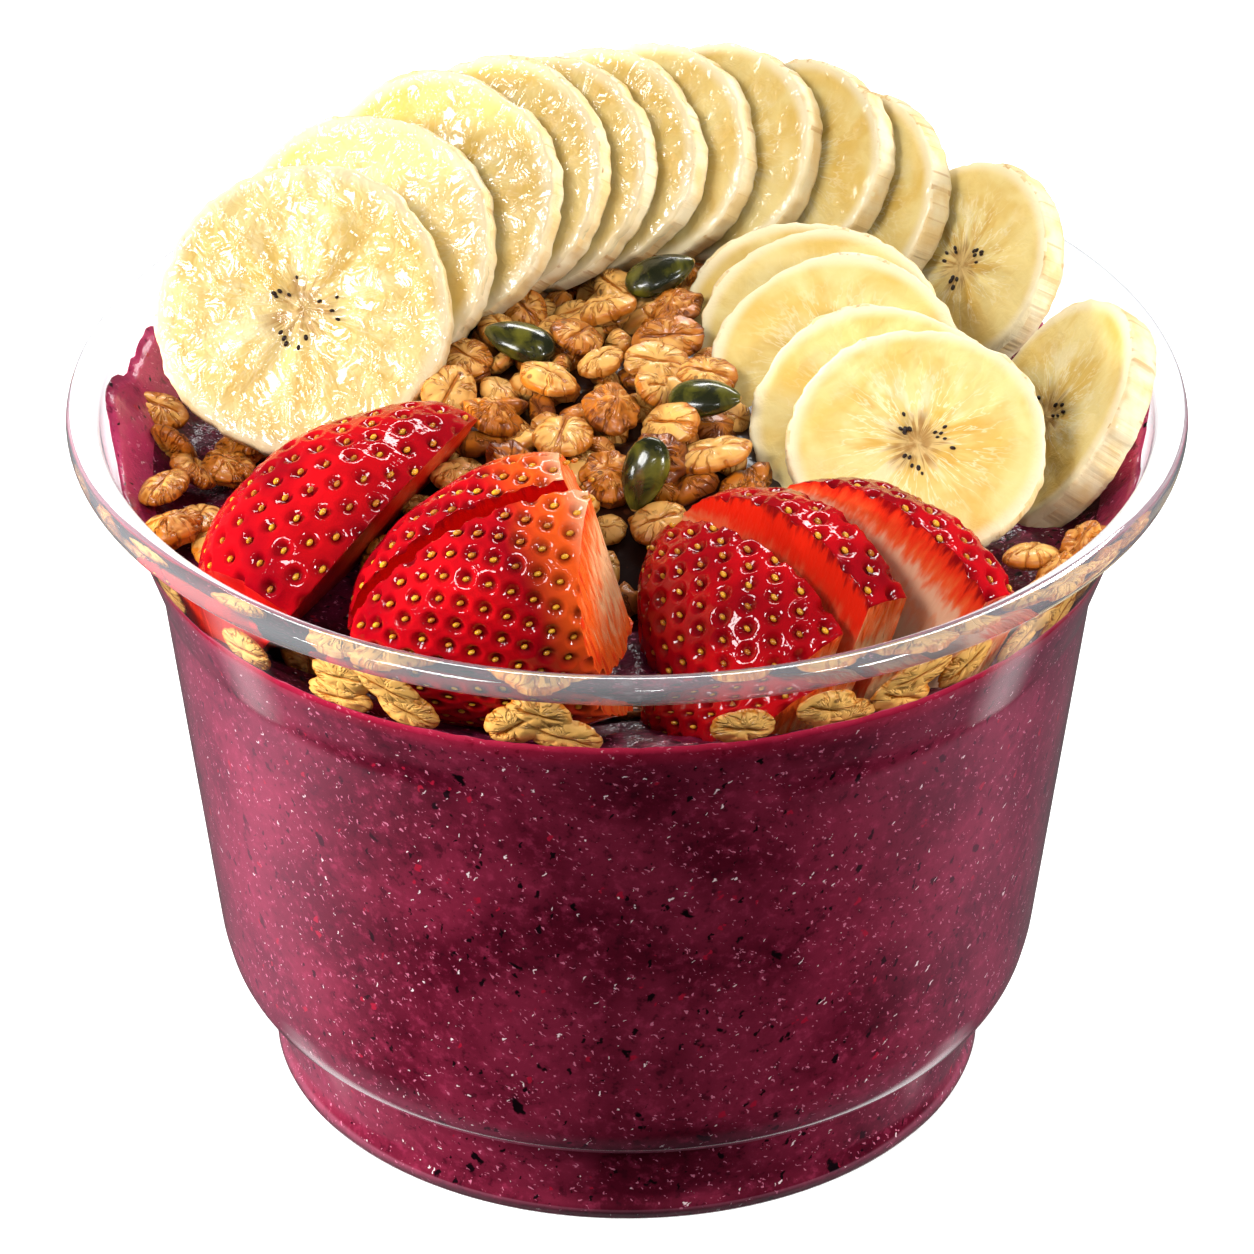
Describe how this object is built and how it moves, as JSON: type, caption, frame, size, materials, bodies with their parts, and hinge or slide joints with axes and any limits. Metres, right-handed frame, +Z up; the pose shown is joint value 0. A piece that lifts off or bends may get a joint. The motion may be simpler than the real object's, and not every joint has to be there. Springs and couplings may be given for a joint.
{
  "type": "acai bowl",
  "caption": "Clear disposable cup of acai topped with granola, fanned banana slices, cut strawberries and pumpkin seeds.",
  "frame": {"origin": "on the cup's vertical axis, in the plane of its foot", "axes": "+Z up along the cup's axis, -Y towards the front where the strawberries lie"},
  "size_m": [0.118, 0.118, 0.1005],
  "materials": {
    "cup": "clear thin plastic",
    "acai": "wet frozen fruit puree, speckled",
    "granola": "toasted oat flakes with honey gloss",
    "banana": "moist fruit",
    "strawberry": "glossy fruit skin and moist cut faces",
    "seed": "shiny seed coat"
  },
  "bodies": {
    "root": {"cup": "cup", "acai": "acai", "granola": "granola", "banana_arc_01": "banana", "banana_arc_02": "banana", "banana_arc_03": "banana", "banana_arc_04": "banana", "banana_arc_05": "banana", "banana_arc_06": "banana", "banana_arc_07": "banana", "banana_arc_08": "banana", "banana_arc_09": "banana", "banana_arc_10": "banana", "banana_arc_11": "banana", "banana_arc_12": "banana", "banana_fan_01": "banana", "banana_fan_02": "banana", "banana_fan_03": "banana", "banana_fan_04": "banana", "banana_fan_05": "banana", "strawberry_1": "strawberry", "strawberry_2": "strawberry", "strawberry_3": "strawberry", "strawberry_4": "strawberry", "strawberry_5": "strawberry", "strawberry_6": "strawberry", "pumpkin_seed_1": "seed", "pumpkin_seed_2": "seed", "pumpkin_seed_3": "seed", "pumpkin_seed_4": "seed"}
  },
  "joints": []
}
